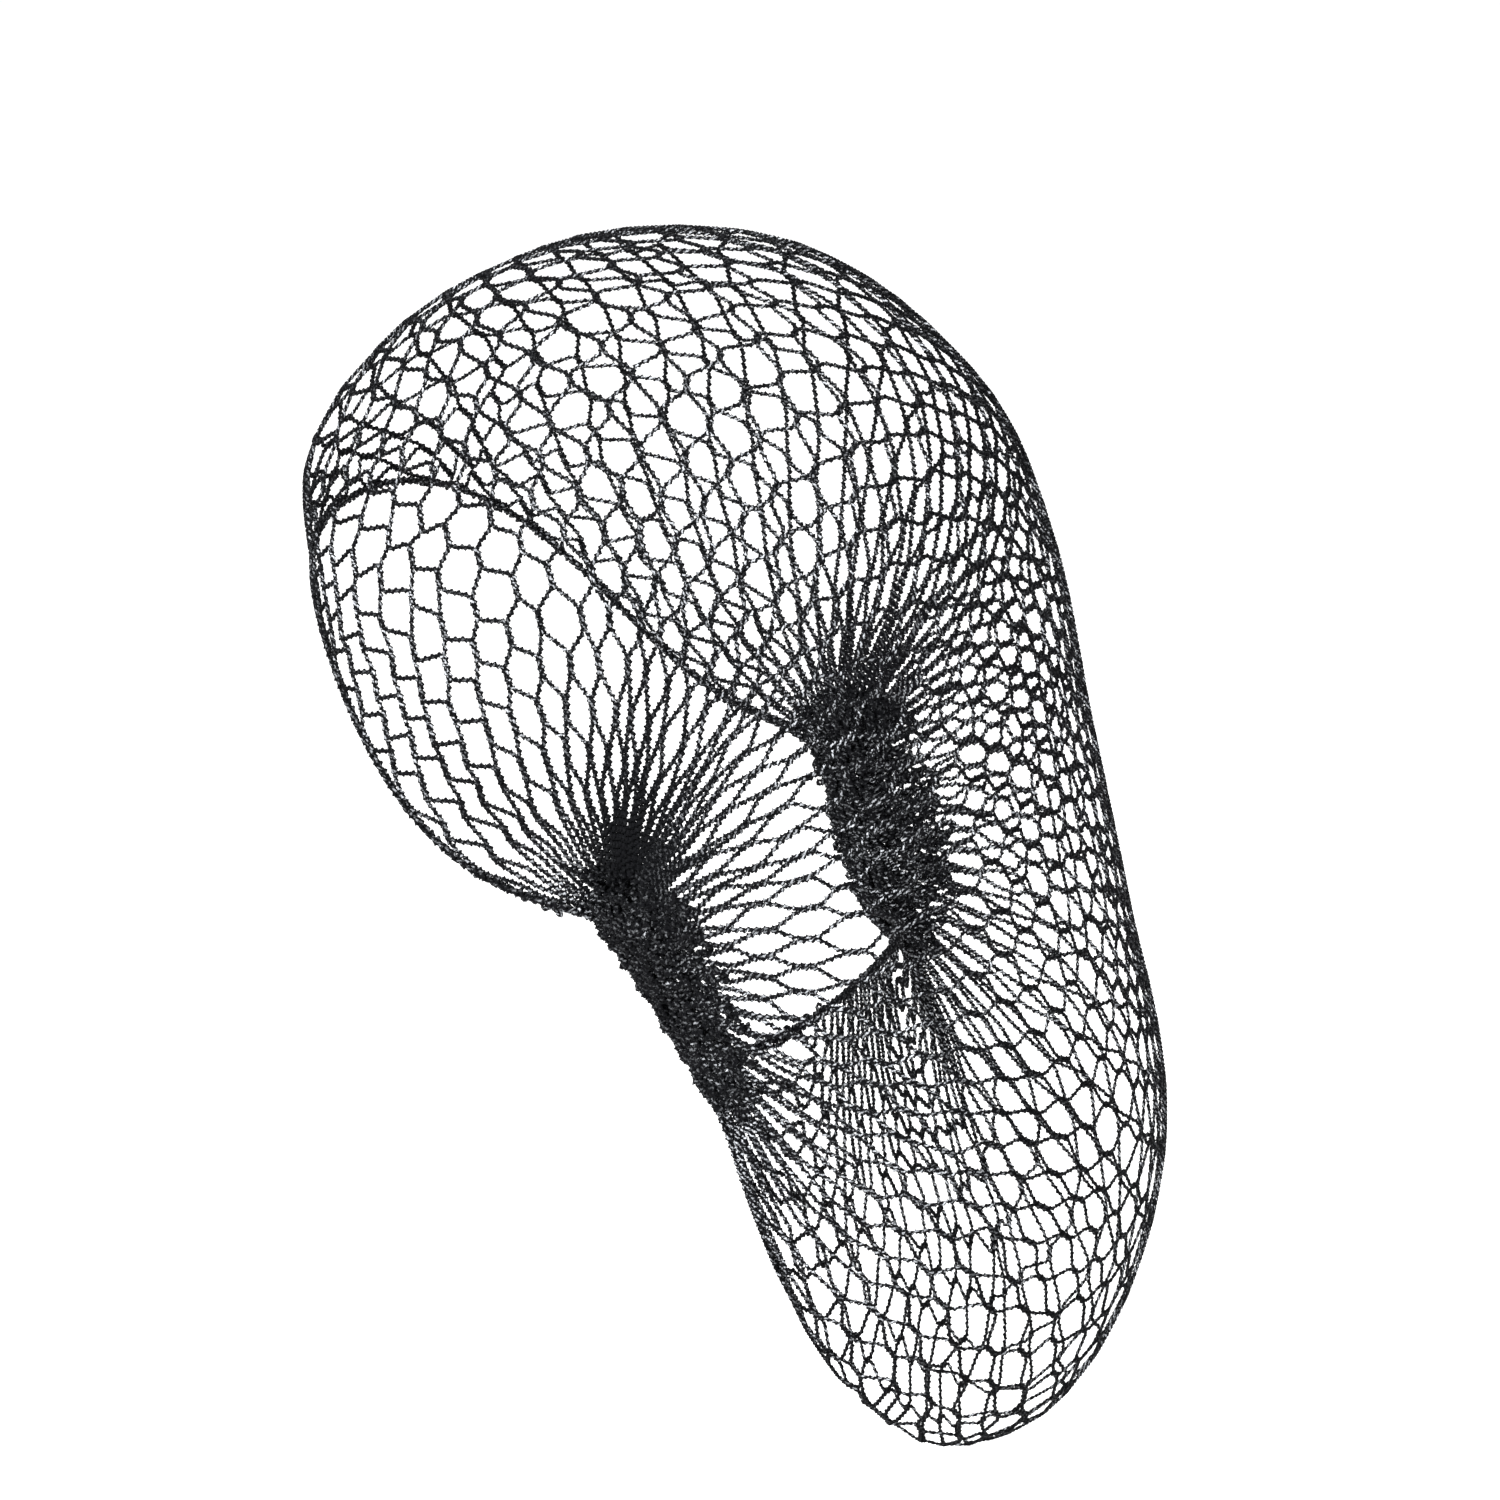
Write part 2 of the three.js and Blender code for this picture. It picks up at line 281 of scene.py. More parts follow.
class Chains:
    """Half-chains 0, 0.5, 1 ... 45. Each has a table of its points, their distances from the band
    and the bag's outward directions at even angles of its left half, the length of its arch, how
    far down the band it joins it and whether it turns up or down there, half the width of its
    cells, and the number of rows from the left end of the knitting."""

    def __init__(self, run, joined_least, joined_most):
        self.number = np.arange(LAST_HALF + 1) / 2
        angle = np.linspace(0.0, math.pi / 2, ARC_STEPS)
        inner = np.clip(angle, LEAST_ANGLE, None)
        section = followed_sections(angle)
        self.points = bag_point(section, angle)
        self.arc = distances(self.points)
        self.length = 2 * self.arc[:, -1]
        across = bag_point(section + SECTION_STEP, inner) - bag_point(section - SECTION_STEP, inner)
        along = bag_point(section, inner + ANGLE_STEP) - bag_point(section, inner - ANGLE_STEP)
        out = unit(np.cross(across, along))
        away = np.sum(out * (self.points - BAG_MIDDLE), axis=-1, keepdims=True)
        self.out = out * np.sign(away)
        self.drop = section_at(section[:, 0])[:, 0]
        self.upward = np.where(self.number < TURN_BACK, -1.0, 1.0)
        self.width = self.cell_width()
        self.rows = self.row_counts(run, joined_least, joined_most)
        self.square_front()

    def cell_width(self):
        """Half the width of a cell, square to the chain: the distance between half-chains, evened
        out over their neighbours."""
        onwards = unit(np.gradient(self.points, axis=1))
        across = np.diff(self.points, axis=0)
        along = np.sum(across * onwards[1:], axis=-1, keepdims=True)
        width = np.linalg.norm(across - along * onwards[1:], axis=-1)
        width = np.concatenate([width[:1], (width[1:] + width[:-1]) / 2, width[-1:]])
        window = np.hanning(2 * EVENED + 3)[1:-1]
        padded = np.concatenate([width[:1].repeat(EVENED, 0), width, width[-1:].repeat(EVENED, 0)])
        shifted = [padded[k : k + len(width)] * weight for k, weight in enumerate(window)]
        return np.sum(shifted, axis=0) / window.sum()

    def row_counts(self, run, joined_least, joined_most):
        """Rows counted along each half-chain's left half and, from the left too, its right half.
        A strand keeps the same run: a cell pulled open by a is b long, with b = j + root((run - j)^2
        - a^2) and j the length of a join. Towards the mid-plane the rows are drawn together or apart
        to keep their number within its bounds, and on the right they are drawn together or apart
        so that every chain has the same number in all."""
        a = self.width
        joined = np.clip(joined_most - JOIN_GIVES * (a - FREE_WIDTH), joined_least, joined_most)
        leg = np.sqrt(np.maximum((run - joined) ** 2 - a**2, SHORTEST_LEG**2))
        rate = 1 / (joined + leg)
        middle = self.arc[:, -1:]
        hidden = ROWS_IN_BAND * self.drop[:, None]

        def summed(values):
            """The running sum of values along each arch."""
            part = (values[:, 1:] + values[:, :-1]) / 2 * np.diff(self.arc, axis=1)
            return np.concatenate([np.zeros((len(part), 1)), np.cumsum(part, axis=1)], axis=1)

        total = hidden + summed(rate)[:, -1:]
        inner = rate * ramp(self.arc / middle, DRAWN_FROM, 1.0)
        wanted = np.clip(total, LEAST_ROWS, MOST_ROWS)
        rate = rate + inner * (wanted - total) / summed(inner)[:, -1:]
        left = hidden + summed(rate)
        outer = rate * (1 - ramp(self.arc - middle, -DRAWN_PAST, 0.0))
        missing = ROWS - hidden - left[:, -1:] - summed(rate)[:, -1:]
        rate = rate + outer * missing / summed(outer)[:, -1:]
        return left, ROWS - hidden - summed(rate)

    def square_front(self):
        """Near the front edge the rows run square to the chains: from half-chain ALIGNED outwards,
        each place takes the row of the nearest place on the half-chain behind it."""
        for i in range(ALIGNED - 1, -1, -1):
            behind = self.points[i + 1]
            gap = self.points[i][:, None] - behind[None, ::LOOK_EVERY]
            near = LOOK_EVERY * np.argmin(np.sum(gap**2, axis=-1), axis=1)
            onwards = unit(np.gradient(behind, axis=0))[near]
            step = np.sum((self.points[i] - behind[near]) * onwards, axis=-1)
            matched = np.maximum.accumulate(self.arc[i + 1][near] + step)
            matched = (matched - matched[0]) * self.arc[i + 1, -1] / (matched[-1] - matched[0])
            for rows in self.rows:
                rows[i] = np.interp(matched, self.arc[i + 1], rows[i + 1])

    def tabled(self, table, half, far):
        """Values of a table of the half-chains, at distances from the band along their arches."""
        values = np.empty(half.shape)
        for i in np.unique(half):
            chosen = half == i
            values[chosen] = np.interp(far[chosen], self.arc[i], table[i])
        return values

    def read(self, half, distance):
        """Points and outward directions of half-chains at distances from their left band. A
        negative distance is inside the band. The corner between arch and band is rounded: the
        arch is taken at (q + r) / 2 and the band at (r - q) / 2, with r the root of q^2 + CORNER^2."""
        right = distance > self.length[half] / 2
        q = np.where(right, self.length[half] - distance, distance)
        r = np.sqrt(q * q + CORNER * CORNER)
        on_arch, in_band = (q + r) / 2, (r - q) / 2
        points, out = (
            np.stack([self.tabled(table[..., axis], half, on_arch) for axis in range(3)], axis=-1)
            for table in (self.points, self.out)
        )
        up, _, facing = band_axes(False)
        points = points + up * (in_band * self.upward[half])[..., None]
        share = ramp(-q, -CORNER, CORNER)[..., None]
        out = unit(out * (1 - share) + facing * share)
        side = np.where(right[..., None], MIRROR, 1.0)
        return points * side, out * side

    def frame(self, half, distance, reach=2):
        """As read, and also the directions along the half-chains and across them, the latter
        towards those that come reach places after them."""
        points, out = self.read(half, distance)
        before, _ = self.read(half, distance - LENGTH_STEP)
        after, _ = self.read(half, distance + LENGTH_STEP)
        along = unit(after - before)
        low, _ = self.read(np.maximum(half - reach, 0), distance)
        high, _ = self.read(np.minimum(half + reach, LAST_HALF), distance)
        across = unit(np.cross(out, along))
        turned = np.sign(np.sum(across * (high - low), axis=-1, keepdims=True) + TINY)
        return points, out, along, across * turned


# ---- The strands: each zigzags between two chains and is joined to its neighbours in turn ----

STRANDS = LAST_HALF + 2
POUCH_STRAYS = (27.0, 37.0)  # over these chains the joins of the pouch come to stray more
POUCH_CLOSES = (27.0, 35.0)  # and over these its cells come to stay closed for longer
POUCH_SLACK = 1.2  # how much more, and how much longer
NAPE = (37.0, 41.0)  # over these chains the mesh comes to be gathered for the nape
NAPE_JOINED = 0.45  # the longest join at the nape, as a share of the distance between rows
EVEN_PITCH = 8.0  # rows that lie closer than this stray less
UNEVEN_JOINS = 0.1  # share of its length by which a join varies
UNEVEN_TURN = math.radians(4.0)  # and the angle by which it turns
FRONT_CHAINS = 9.0  # over this many chains the joins' turn towards the crown fades
TURNED = (5.0, 40.0)  # over these distances from a band they come to be turned
TURN_PASSES = 0.12  # and within this share of a chain from the mid-plane they turn round
IN_BAND_PITCH = 14.2
FRONT_DEPTH = 8.0  # how deep the chains of the front run into a band
PAST_FOOT = 1.5  # how far the others run past its foot
JOINED_SAMPLES = 4  # the places that a strand has along a join
LEG_SAMPLES = 12  # and between two joins
# A place of a path has its point (3), its outward direction (3), and its distances from the left
# band and from the right one.
FAR_LEFT, FAR_RIGHT, PLACE_SIZE = 6, 7, 8


def row_distance(chains, half, rows):
    """How far along its half-chain each row lies, and how far it is from the next one. Inside a
    band the rows lie IN_BAND_PITCH apart."""
    left, right = chains.rows
    wanted = rows + 0.5
    distance = np.empty(half.shape)
    pitch = np.empty(half.shape)
    for i in np.unique(half):
        chosen = half == i
        arc = chains.arc[i]
        count = np.concatenate([left[i], right[i][-2::-1]])
        far = np.concatenate([arc, chains.length[i] - arc[-2::-1]])
        place = wanted[chosen]
        found = np.interp(place, count, far)
        before, after = count[0] - place, place - count[-1]
        found = np.where(before > 0, -before * IN_BAND_PITCH, found)
        found = np.where(after > 0, far[-1] + after * IN_BAND_PITCH, found)
        distance[chosen] = found
        pitch[chosen] = np.interp(found, far, 1 / np.gradient(count, far))
    length = chains.length[half]
    inside = np.where(
        chains.number[half] < TURN_BACK, FRONT_DEPTH, BAND_LENGTH * chains.drop[half] + PAST_FOOT
    )
    return np.clip(distance, -inside, length + inside), pitch


def joins(chains, settings, random):
    """The join of each strand at each row. Strands 2c and 2c + 1 meet on chain c in the even rows,
    and strands 2c + 1 and 2c + 2 on chain c + 1/2 in the odd ones. A join is given by the points
    where the strand enters and leaves it, its outward direction and its heading, its distance from
    the left band, its length j and the length of its chain. j leaves a leg of the right length to
    the next row: (run - j)^2 = a^2 + (pitch - j)^2, with a half the width of a cell. In the front
    the joins are turned towards the crown."""
    strand, row = np.meshgrid(np.arange(STRANDS), np.arange(-1, ROWS + 1), indexing="ij")
    odd = (strand + row) % 2
    half = np.clip(strand - odd, 0, LAST_HALF)
    distance, pitch = row_distance(chains, half, row)
    length = chains.length[half]
    number = chains.number[half]
    at_edge = (half == 0) | (half == LAST_HALF)
    shape = (LAST_HALF + 1, row.shape[1])
    where = (half, row + 1)
    drift = random.normal(0.0, 1.0, shape + (2,))[where]
    loose = settings.irregularity / MM
    slack = 1.0 + POUCH_SLACK * ramp(number, *POUCH_STRAYS)
    distance = distance + drift[..., 0] * loose * slack * np.minimum(pitch / EVEN_PITCH, 1.0)
    centre, out, along, across = chains.frame(half, distance, 1)
    centre = centre + across * np.where(at_edge, 0.0, drift[..., 1] * loose * slack)[..., None]
    cell = chains.tabled(chains.width, half, np.minimum(distance, length - distance))
    run = settings.stitch_run / MM
    joined = (run**2 - cell**2 - pitch**2) / (2 * np.maximum(run - pitch, 1.0))
    joined = np.clip(joined, settings.joined_least / MM, settings.joined_most / MM)
    nape = ramp(number, *NAPE)
    joined = np.minimum(joined, pitch * (1 - (1 - NAPE_JOINED) * nape))
    joined = joined * (1 + UNEVEN_JOINS * random.normal(0.0, 1.0, shape)[where])
    turn = settings.front_turn * (1 - ramp(number, 0.0, FRONT_CHAINS))
    turn = turn * np.clip((0.5 - distance / length) / TURN_PASSES, -1.0, 1.0)
    turn = turn * ramp(distance, *TURNED) * ramp(length - distance, *TURNED)
    turn = turn + UNEVEN_TURN * random.normal(0.0, 1.0, shape)[where]
    turn = np.where(at_edge, 0.0, turn)[..., None]
    heading = along * np.cos(turn) + across * np.sin(turn)
    beside = across * np.cos(turn) - along * np.sin(turn)
    gap = np.where(at_edge, settings.edge_gap, settings.joined_gap) / MM
    beside = beside * ((2 * odd - 1) * gap)[..., None]
    enter = centre - heading * (joined / 2)[..., None] + beside
    leave = centre + heading * (joined / 2)[..., None] + beside
    return enter, leave, out, heading, distance, joined, length


def strand_paths(chains, settings):
    """Every strand as a polyline of places. At each row two strands lie side by side for the joined
    length, and between rows a strand crosses to its other neighbour on a cubic whose ends follow
    the joined stitches. The first and the last strand follow the edges of the bag."""
    random = np.random.default_rng(settings.seed)
    enter, leave, out, heading, distance, joined, length = joins(chains, settings, random)

    def carried(t):
        """The outward direction and the distances from both bands at shares of every join."""
        far = distance[..., None] + (t - 0.5) * joined[..., None]
        outward = np.broadcast_to(out[:, :, None], far.shape + (3,))
        return np.concatenate([outward, np.stack([far, length[..., None] - far], -1)], axis=-1)

    t = np.linspace(0.0, 1.0, JOINED_SAMPLES)
    straight = enter[:, :, None] * (1 - t)[:, None] + leave[:, :, None] * t[:, None]
    joined_part = np.concatenate([straight, carried(t)], axis=-1)
    t = np.linspace(0.0, 1.0, LEG_SAMPLES + 2)[1:-1, None]
    a, b = leave[:, :-1, None], enter[:, 1:, None]
    chord = np.linalg.norm(b - a, axis=-1, keepdims=True) * settings.corner_softness
    crossing = curve(t, a, b, heading[:, :-1, None] * chord, heading[:, 1:, None] * chord)
    beside = carried(np.ones(1))[:, :-1] * (1 - t) + carried(np.zeros(1))[:, 1:] * t
    leg_part = np.concatenate([crossing, beside], axis=-1)
    # the last join has no leg after it: it gets one so that the rows are alike, and it is cut off
    leg_part = np.concatenate([leg_part, leg_part[:, -1:]], axis=1)
    paths = np.concatenate([joined_part, leg_part], axis=2)
    paths = paths.reshape(STRANDS, -1, PLACE_SIZE)[:, :-LEG_SAMPLES]
    for strand, edge in ((0, 0), (STRANDS - 1, LAST_HALF)):
        far = np.linspace(distance[strand, 0], distance[strand, -1], paths.shape[1])
        points, outward = chains.read(np.full(far.shape, edge), far)
        rest = np.stack([far, chains.length[edge] - far], axis=-1)
        paths[strand] = np.concatenate([points, outward, rest], axis=1)
    close_cells(paths, chains, settings)
    return crowd(paths, np.arange(STRANDS) / 2, random)


def from_band(path):
    """The distances of places from the nearer band."""
    return np.minimum(path[..., FAR_LEFT], path[..., FAR_RIGHT])


CLOSED, OPENED = 10.0, 40.0
OPEN_SHARE = 0.7


def close_cells(paths, chains, settings):
    """Draws the two strands of a chain together near the bands: wholly up to the distance CLOSED,
    and less and less from there to the distance OPENED, and not at all past OPEN_SHARE of the way
    to the mid-plane. In the pouch both distances grow."""
    for number in range(1, STRANDS - 1):
        path = paths[number]
        chain = 2 * (number // 2)
        length = chains.length[chain]
        near_left = path[:, FAR_LEFT] < path[:, FAR_RIGHT]
        distance = np.where(near_left, path[:, FAR_LEFT], length - path[:, FAR_RIGHT])
        middle, _, _, across = chains.frame(np.full(len(path), chain), distance)
        at_edge = number in (1, STRANDS - 2)
        gap = (settings.edge_gap if at_edge else settings.closed_gap) / MM
        goal = middle + across * (gap if number % 2 else -gap)
        further = 1 + POUCH_SLACK * ramp(number / 2, *POUCH_CLOSES)
        opened = min(OPENED * further, OPEN_SHARE * length / 2)
        closed = opened * CLOSED / OPENED
        share = 1 - ramp(from_band(path), closed, opened)
        path[:, :3] += share[:, None] * (goal - path[:, :3])


FRONT_HALF_WIDTH = 5.5  # half of the band's width that the chains of the front take up
WEAVE = 0.8  # how far a strand strays across the band
SKIN = 0.3  # how far the outermost strands lie inside the band's flat sides
WANDER = (0.12, 0.3)  # how fast a strand strays, in radians for each millimetre
CROWD_REACH = 13.0
DIMPLE = 5.0  # its depth,
DIMPLE_AT = 4.0  # the distance from the band where it is deepest,
DIMPLE_REACH = 6.0  # and how wide it is
DIMPLE_BEGINS = (1.0, 4.0)  # the chains over which it comes
DIMPLE_ENDS = (12.0, 17.0)  # and goes


def crowd(paths, chain, random):
    """Moves the strands to their places in the bands. Across a band's width they lie in the order
    in which they leave it, and through its thickness they wander at random. Outside the band the
    move dies away as exp(-(q / CROWD_REACH)^2). Where the chains of the front enter the band they
    sink into a dimple by exp(-((q - DIMPLE_AT) / DIMPLE_REACH)^2)."""
    early = -FRONT_HALF_WIDTH + 2 * FRONT_HALF_WIDTH * chain / TURN_BACK
    late = BAND_HALF_WIDTH - 2 * BAND_HALF_WIDTH * (chain - TURN_BACK) / (LAST_CHAIN - TURN_BACK)
    width = np.where(chain < TURN_BACK, early, late)
    depth = (BAND_HALF_THICKNESS - SKIN) * np.sqrt(1 - (width / (BAND_HALF_WIDTH + WEAVE)) ** 2)
    front = ramp(chain, *DIMPLE_BEGINS) * (1 - ramp(chain, *DIMPLE_ENDS))
    for column, right in ((FAR_LEFT, 0), (FAR_RIGHT, 1)):
        q = paths[..., column]
        inside = np.exp(-((np.maximum(q, 0.0) / CROWD_REACH) ** 2))
        _, across, facing = band_axes(right)
        phase = random.uniform(0, 2 * math.pi, (len(chain), 2))[..., None]
        rate = random.uniform(*WANDER, (len(chain), 2))[..., None]
        wander = np.sin(phase[:, 0] + rate[:, 0] * q)
        weave = np.sin(phase[:, 1] + rate[:, 1] * q)
        aside = width[:, None] + WEAVE * weave
        sunk = DIMPLE * front[:, None] * np.exp(-(((q - DIMPLE_AT) / DIMPLE_REACH) ** 2))
        paths[..., :3] += (inside * aside)[..., None] * across - sunk[..., None] * facing
        paths[..., :3] += (inside * depth[:, None] * wander)[..., None] * facing
    return paths


TUCKS = 100
# From which half-chain the loops come: a share of their number, and the half-chain.
TUCK_PLACES = np.array([(0.0, 5.0), (0.25, 30.0), (1.0, 84.0)])
# How far they reach out at most: the half-chain, and the distance from the band.
TUCK_REACHES = np.array([(5.0, 13.0), (30.0, 17.0), (46.0, 30.0), (60.0, 26.0), (84.0, 15.0)])
TUCK_WAYS = (2, 4)  # the chain back is at least 2 and less than 4 half-chains from the one out
TUCK_SAMPLES = 150
TUCK_SEED = 20  # added to the seed, as are the other two of its kind
TUCK_ROOT = 4.0  # how deep in the band a loop begins and ends
TUCK_POWER = 0.7
TUCK_LEAST = 0.35  # of the reach in the table
TUCK_WAVES = (3.0, 6.0)  # in a loop with this reach:
TUCK_WAVED = 20.0
TUCK_SWAY = 1.0
TUCK_LIFT = 0.9
TUCK_FREE = (-2.0, 4.0)  # over these distances from the band a loop comes to be free to sway


def tucks(chains, settings, right):
    """Slack loops of chain pushed out of a band, spread evenly over its chains: each runs out
    beside one chain and back beside another. Its distance from the band is (reach + TUCK_ROOT)
    sin(pi s)^TUCK_POWER - TUCK_ROOT, and it sways across and in and out by sines."""
    random = np.random.default_rng(settings.seed + TUCK_SEED + right)
    s = np.linspace(0.0, 1.0, TUCK_SAMPLES)
    place = (np.arange(TUCKS) + random.random(TUCKS)) / TUCKS
    halves = np.interp(place, TUCK_PLACES[:, 0], TUCK_PLACES[:, 1]).astype(int)
    furthest = np.interp(halves, TUCK_REACHES[:, 0], TUCK_REACHES[:, 1])
    reaches = furthest * random.uniform(TUCK_LEAST, 1.0, TUCKS)
    paths = np.zeros((TUCKS, TUCK_SAMPLES, PLACE_SIZE))
    for path, first, reach in zip(paths, halves, reaches):
        q = (reach + TUCK_ROOT) * np.sin(math.pi * s) ** TUCK_POWER - TUCK_ROOT
        share = ramp(s, 0.0, 1.0)[:, None]
        ways = random.integers(*TUCK_WAYS)
        for weight, number in ((1 - share, first), (share, first + ways)):
            distance = chains.length[number] - q if right else q
            points, out, _, across = chains.frame(np.full(len(s), number), distance)
            path[:, :3] += weight * points
            path[:, 3:6] += weight * out
        waves = random.uniform(*TUCK_WAVES, 2) * reach / TUCK_WAVED
        start = random.uniform(0.0, 2 * math.pi, 2)
        free = ramp(q, *TUCK_FREE)
        sway = TUCK_SWAY * free * np.sin(2 * math.pi * waves[0] * s + start[0])
        lift = TUCK_LIFT * free * np.sin(2 * math.pi * waves[1] * s + start[1])
        path[:, :3] += across * sway[:, None] + path[:, 3:6] * lift[:, None]
        near, far = (FAR_RIGHT, FAR_LEFT) if right else (FAR_LEFT, FAR_RIGHT)
        path[:, near] = q
        path[:, far] = chains.length[first] - q
    return crowd(paths, halves / 2, random)


LOOP_SAMPLES = 16
LOOP_FOOT = 0.6  # how deep a loop's foot lies in the edge
LOOP_WIDTHS = (0.3, 0.5)  # shares of the loop's size
LOOP_TILT = 0.4
LOOP_FROM_BAND = 30.0  # the distance from a band that gives the loops their thickness


def loose_loop(random, foot, along, outward, facing, size):
    """A small loop that stands off an edge, drawn as a drop: outwards by sin(pi s), along the edge
    by sin(2 pi s), and tilted a little."""
    s = np.linspace(0.0, 1.0, LOOP_SAMPLES)[:, None]
    width = size * random.uniform(*LOOP_WIDTHS)
    tilt = size * random.uniform(-LOOP_TILT, LOOP_TILT)
    lean = size * random.uniform(-LOOP_TILT, LOOP_TILT)
    points = foot + outward * (size * np.sin(math.pi * s) - LOOP_FOOT)
    points = points + along * (width * np.sin(2 * math.pi * s) + lean * s)
    points = points + facing * (tilt * np.sin(math.pi * s))
    rest = np.full((len(s), 2), LOOP_FROM_BAND)
    return np.concatenate([points, np.broadcast_to(facing, points.shape), rest], axis=1)


# ---- Tubes ----

THICKER = 0.42
THICKER_REACH = 90.0
SLACK_REACH = 75.0
WIDE = 1.15  # the radius of a ring where a loop opens, as a share of the strand's radius
NARROW = 0.74  # and where the next loop grips it
TIP = 0.5  # the radius of the two ends, as a share of the first ring's
LEAN = 0.27  # how far a loop leans, as a share of the radius
FLATTENED = 0.86  # a loop's thickness, as a share of its width
TUBE_SHIFT = 7.37  # stitches by which the pattern of each tube is ahead of the last one's


def spaced(path, step):
    """The polyline's places at even distances of about step."""
    far = distances(path[:, :3])
    count = max(int(round(far[-1] / step)), 2)
    at = np.linspace(0.0, far[-1], count + 1)
    return np.stack([np.interp(at, far, path[:, i]) for i in range(path.shape[1])], axis=1), at


def path_axes(places):
    """The direction of a path at each of its places, the outward direction made square to it, and
    the direction to its side."""
    onwards = unit(np.gradient(places[:, :3], axis=0))
    out = unit(places[:, 3:6] - onwards * np.sum(places[:, 3:6] * onwards, axis=1, keepdims=True))
    return onwards, out, np.cross(out, onwards)


def knitted_rings(path, stitch, radius, sides, phase, slim=1.0, slack=0.0):
    """Rings of a chain of knitted loops, and the direction of the strand at each: two rings to a
    stitch, a wide one where a loop opens and a narrow one where the next loop grips it, every other
    loop leaning to the other side. The strand is 1 + THICKER times its radius at the bands and
    eases to slim times its radius by exp(-q / THICKER_REACH). Its direction is shortened by the
    share slack near the bands, where the loops turn every way, as exp(-(q / SLACK_REACH)^2), so
    that more painted glints show there."""
    places, _ = spaced(path, stitch / 2)
    onwards, out, side = path_axes(places)
    ring = np.arange(len(places)) + phase
    wide = ring % 2 == 0
    lean = np.where(ring % 4 < 2, 1.0, -1.0)
    q = np.maximum(from_band(places), 0.0)
    radius = radius * (slim + (1 + THICKER - slim) * np.exp(-q / THICKER_REACH))
    size = np.where(wide, radius * WIDE, radius * NARROW)
    size[0] = size[-1] = size[0] * TIP
    points = places[:, :3] + side * (np.where(wide, LEAN, 0.0) * radius * lean)[:, None]
    turn = 2 * math.pi * np.arange(sides) / sides
    turn = turn[None, :] + (ring % 4)[:, None] * math.pi / sides
    flat = np.where(wide, FLATTENED, 1.0)[:, None, None]
    rings = (
        points[:, None]
        + side[:, None] * (np.cos(turn) * size[:, None])[..., None]
        + out[:, None] * (np.sin(turn) * size[:, None])[..., None] * flat
    )
    return rings, onwards * (1 - slack * np.exp(-((q / SLACK_REACH) ** 2)))[:, None]


def tube_mesh(name, tubes):
    """One mesh from tubes of rings, each closed at both ends. Vertex i of ring r joins vertex i + 1
    and ring r + 1. The UV map runs round the tube in its first number and counts stitches, two rings
    each, in its second. The attribute "lie" is the direction of the strand, which sets the painted
    glints."""
    tubes, lies = zip(*tubes)
    sides = tubes[0].shape[1]
    points = np.concatenate(tubes).reshape(-1, 3) * MM
    counts = np.array([len(tube) for tube in tubes])
    ends = np.cumsum(counts)
    starts = ends - counts
    rings = np.arange(ends[-1])
    i = np.arange(sides)
    j = (i + 1) % sides
    first = np.delete(rings, ends - 1)[:, None] * sides
    quads = np.stack([first + i, first + j, first + sides + j, first + sides + i], axis=-1)
    heads = starts[:, None] * sides + i[::-1]
    tails = (ends - 1)[:, None] * sides + i
    loops = np.concatenate([quads.ravel(), heads.ravel(), tails.ravel()])
    totals = np.repeat([4, sides], [quads.size // 4, 2 * len(tubes)])
    mesh = bpy.data.meshes.new(name)
    mesh.vertices.add(len(points))
    mesh.vertices.foreach_set("co", points.astype(np.float32).ravel())
    mesh.loops.add(len(loops))
    mesh.loops.foreach_set("vertex_index", loops.astype(np.int32))
    mesh.polygons.add(len(totals))
    mesh.polygons.foreach_set("loop_start", (np.cumsum(totals) - totals).astype(np.int32))
    mesh.polygons.foreach_set("loop_total", totals.astype(np.int32))
    mesh.polygons.foreach_set("use_smooth", np.ones(len(totals), bool))
    mesh.update(calc_edges=True)
    # the map: a corner takes its ring's number, and the last face of a ring ends at 1, not at 0
    shift = np.arange(len(tubes)) * TUBE_SHIFT
    along = (rings - np.repeat(starts, counts)) / 2 + np.repeat(shift, counts)
    corner = np.stack([loops % sides / sides, along[loops // sides]], axis=-1)
    wrapped = corner[: quads.size].reshape(-1, sides, 4, 2)
    wrapped[:, -1, 1:3, 0] = 1.0
    layer = mesh.uv_layers.new(name="stitches")
    layer.data.foreach_set("uv", corner.astype(np.float32).ravel())
    layer = mesh.attributes.new("lie", "FLOAT_VECTOR", "POINT")
    lies = np.repeat(np.concatenate(lies), sides, axis=0)
    layer.data.foreach_set("vector", lies.astype(np.float32).ravel())
    return mesh


def add_object(scene, name, data):
    """An object of this name in the scene, instead of an older one."""
    old = bpy.data.objects.get(name)
    if old is not None:
        bpy.data.objects.remove(old)
    item = bpy.data.objects.new(name, data)
    scene.collection.objects.link(item)
    return item


def add_piece(context, name, tubes, material, node):
    """An object of tubes that rides with the part and stands for one of its solids. Its material
    and its slot have the same name."""
    mesh = tube_mesh(name, tubes)
    mesh.materials.append(material)
    piece = add_object(context.scene, name, mesh)
    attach(piece, "root")
    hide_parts(node)
    return piece


# ---- Finishes ----

# The painted glints are brightest on strands that lie across this fixed direction, which stands for
# the light.
SHINE_DIRECTION = (0.84, 0.37, 0.4)
FINE_NOISE = (800.0, 1.0)  # its scale and detail
SLOW_NOISE = (90.0, 2.0)
CREST_SHIFT = 2.0  # once round the strand the crest of a stitch's wave moves by so many stitches
CREST = (0.1, 0.6)  # the part of the wave over which a painted glint comes to shine
GRAIN = (0.45, 0.57)  # the part of the fine noise over which it does
PATCH = (0.36, 0.6)  # and of the slow noise, under which a painted glint keeps a share of its strength:
PATCH_LEAST = 0.4
ACROSS = (0.1, 0.6)  # from across the shine direction to along it, as the cosine
GLOSS = (0.35, 0.6)  # the roughness at the two ends of this part of the fine noise:
GLOSS_NOISE = (0.3, 0.7)
